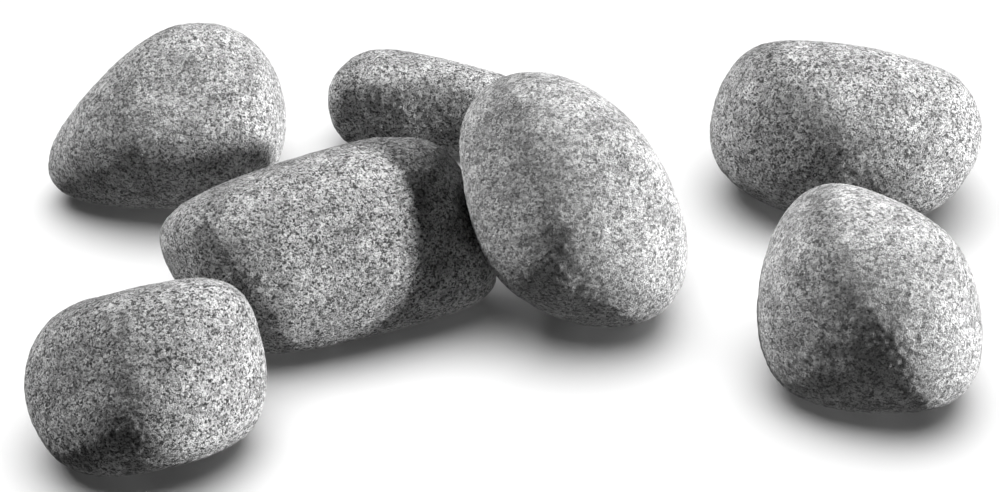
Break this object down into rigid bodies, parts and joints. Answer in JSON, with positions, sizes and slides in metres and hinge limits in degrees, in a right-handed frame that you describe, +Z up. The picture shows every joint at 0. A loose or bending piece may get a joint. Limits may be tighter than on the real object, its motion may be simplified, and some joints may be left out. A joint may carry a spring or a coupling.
{
  "type": "massage stone set",
  "caption": "Loose, water-rounded massage stones of speckled grey rock, laid out on a table. Each stone is a separate solid that lifts away.",
  "frame": {"origin": "middle of the set's footprint, on the table top that the stones rest on", "axes": "+X to the right along the longer side of the layout, +Y to the back, +Z up"},
  "size_m": [0.3469, 0.2404, 0.0876],
  "materials": {
    "speckled_stone": "dry, finely pitted, matt, with a salt-and-pepper grain"
  },
  "bodies": {
    "long": {"long_stone": "speckled_stone"},
    "wedge": {"wedge_stone": "speckled_stone"},
    "slim": {"slim_stone": "speckled_stone"},
    "oval": {"oval_stone": "speckled_stone"},
    "blunt": {"blunt_stone": "speckled_stone"},
    "pillow": {"pillow_stone": "speckled_stone"},
    "round": {"round_stone": "speckled_stone"}
  },
  "joints": [
    {"name": "wedge_lift", "type": "slide", "parent": "long", "child": "wedge", "axis": [0, 0, 1], "range_m": [0, 0.12]},
    {"name": "slim_lift", "type": "slide", "parent": "long", "child": "slim", "axis": [0, 0, 1], "range_m": [0, 0.12]},
    {"name": "oval_lift", "type": "slide", "parent": "long", "child": "oval", "axis": [0, 0, 1], "range_m": [0, 0.12]},
    {"name": "blunt_lift", "type": "slide", "parent": "long", "child": "blunt", "axis": [0, 0, 1], "range_m": [0, 0.12]},
    {"name": "pillow_lift", "type": "slide", "parent": "long", "child": "pillow", "axis": [0, 0, 1], "range_m": [0, 0.12]},
    {"name": "round_lift", "type": "slide", "parent": "long", "child": "round", "axis": [0, 0, 1], "range_m": [0, 0.12]}
  ]
}
